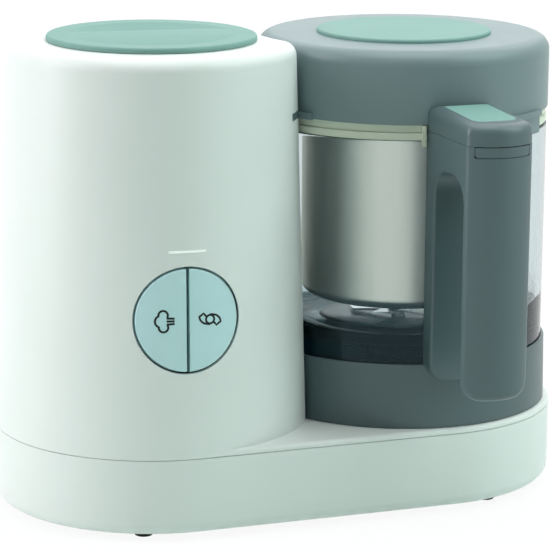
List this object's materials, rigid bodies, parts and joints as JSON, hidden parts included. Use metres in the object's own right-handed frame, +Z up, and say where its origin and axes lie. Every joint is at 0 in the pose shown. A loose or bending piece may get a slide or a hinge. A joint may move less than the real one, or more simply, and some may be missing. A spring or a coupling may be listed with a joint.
{
  "type": "baby food maker",
  "caption": "Steam cooker and blender for baby food: a round tower with tank and controls beside a glass jug with steaming basket, lid and handle.",
  "frame": {"origin": "on the table, under the middle of the whole outline with the handle", "axes": "+X from the tower to the jug, +Y to the back, +Z up; the handle and the controls face -Y"},
  "size_m": [0.315, 0.221, 0.2556],
  "materials": {
    "white_shell": "satin moulded white",
    "mint_plastic": "satin mint green",
    "button_plastic": "satin pale blue green",
    "grey_plastic": "satin cool grey",
    "clear_glass": "clear thick glass",
    "basket_steel": "vertically brushed stainless",
    "cream_plastic": "satin cream",
    "silicone": "translucent silicone",
    "light_guide": "milky light guide",
    "black_rubber": "matte black",
    "dark_plastic": "matte dark grey",
    "circuit_board": "green laminate",
    "plain_steel": "plain steel",
    "blade_steel": "ground stainless",
    "cast_aluminium": "cast",
    "motor_core": "laminated core"
  },
  "bodies": {
    "housing": {"base_pan": "white_shell", "upper_housing": "white_shell", "lid_catch": "grey_plastic", "rubber_feet": "black_rubber", "base_screws": "plain_steel", "cord_gland": "black_rubber", "panel_frame": "dark_plastic", "control_board": "circuit_board", "indicator_light": "light_guide", "tact_switches": "dark_plastic", "tank_collar": "dark_plastic", "tank_gasket": "silicone", "water_tank": "plain_steel", "tank_clamp": "plain_steel", "clamp_screws": "plain_steel", "heater_plate": "cast_aluminium", "heater_element": "plain_steel", "thermostat": "dark_plastic", "steam_pipe": "plain_steel", "steam_nozzle": "silicone", "motor_bracket": "dark_plastic", "motor_can": "plain_steel", "motor_stator": "motor_core", "drive_belt": "black_rubber", "spindle_housing": "dark_plastic", "spindle_bearings": "plain_steel", "interlock_switch": "dark_plastic"},
    "steam_key": {"steam_button": "button_plastic"},
    "blend_key": {"blend_button": "button_plastic"},
    "filler_plug": {"tank_plug": "dark_plastic", "tank_cap_seal": "silicone"},
    "filler_cap": {"tank_cap": "mint_plastic"},
    "rotor": {"motor_shaft": "plain_steel", "rotor_core": "motor_core", "cooling_fan": "dark_plastic", "drive_pulley": "dark_plastic"},
    "spindle": {"drive_spindle": "plain_steel", "driven_pulley": "dark_plastic", "drive_dog": "dark_plastic"},
    "sensing_pin": {"interlock_pin": "dark_plastic"},
    "jug": {"jug_base": "grey_plastic", "jug_bottom_plate": "grey_plastic", "glass_gasket": "silicone", "jug_glass": "clear_glass", "blade_seat": "dark_plastic", "blade_nut": "dark_plastic", "handle_frame": "grey_plastic", "handle_cap": "grey_plastic", "handle_inset": "mint_plastic"},
    "blade_set": {"blade_shaft": "plain_steel", "blades": "blade_steel", "blade_cap_nut": "dark_plastic", "jug_coupling": "dark_plastic"},
    "trigger": {"release_trigger": "grey_plastic"},
    "steamer": {"basket": "basket_steel", "basket_floor": "basket_steel", "basket_collar": "cream_plastic"},
    "lid": {"lid_shell": "grey_plastic", "lid_disc": "mint_plastic", "lid_liner": "cream_plastic", "lid_seal": "silicone"}
  },
  "joints": [
    {"name": "steam_press", "type": "slide", "parent": "housing", "child": "steam_key", "axis": [0.0872, 0.9962, 0], "range_m": [0, 0.0015], "stiffness_N_per_m": 800},
    {"name": "blend_press", "type": "slide", "parent": "housing", "child": "blend_key", "axis": [0.0872, 0.9962, 0], "range_m": [0, 0.0015], "stiffness_N_per_m": 800},
    {"name": "plug_lift", "type": "slide", "parent": "housing", "child": "filler_plug", "axis": [0, 0, 1], "range_m": [0, 0.06]},
    {"name": "cap_turn", "type": "hinge", "parent": "filler_plug", "child": "filler_cap", "pos_m": [-0.0725, 0.0255, 0.248], "axis": [0, 0, 1], "range_deg": [0, 90]},
    {"name": "rotor_spin", "type": "hinge", "parent": "housing", "child": "rotor", "pos_m": [-0.0725, 0.0255, 0.094], "axis": [0, 0, 1], "continuous": true},
    {"name": "spindle_spin", "type": "hinge", "parent": "housing", "child": "spindle", "pos_m": [0.0725, 0.0255, 0.037], "axis": [0, 0, 1], "continuous": true},
    {"name": "jug_lift", "type": "slide", "parent": "housing", "child": "jug", "axis": [0, 0, 1], "range_m": [0, 0.12]},
    {"name": "pin_rise", "type": "slide", "parent": "housing", "child": "sensing_pin", "axis": [0, 0, 1], "range_m": [0, 0.002]},
    {"name": "blade_spin", "type": "hinge", "parent": "jug", "child": "blade_set", "pos_m": [0.0725, 0.0255, 0.08], "axis": [0, 0, 1], "continuous": true},
    {"name": "trigger_press", "type": "slide", "parent": "jug", "child": "trigger", "axis": [0, 1, 0], "range_m": [0, 0.0018], "stiffness_N_per_m": 1200},
    {"name": "lid_lift", "type": "slide", "parent": "jug", "child": "lid", "axis": [0, 0, 1], "range_m": [0, 0.1]},
    {"name": "basket_lift", "type": "slide", "parent": "jug", "child": "steamer", "axis": [0, 0, 1], "range_m": [0, 0.06]}
  ],
  "couplings": [
    {"joint": "spindle_spin", "follows": "rotor_spin", "ratio": 0.30556},
    {"joint": "blade_spin", "follows": "rotor_spin", "ratio": 0.30556},
    {"joint": "pin_rise", "follows": "jug_lift", "ratio": 0.016667},
    {"joint": "basket_lift", "follows": "lid_lift", "ratio": 0.6}
  ]
}
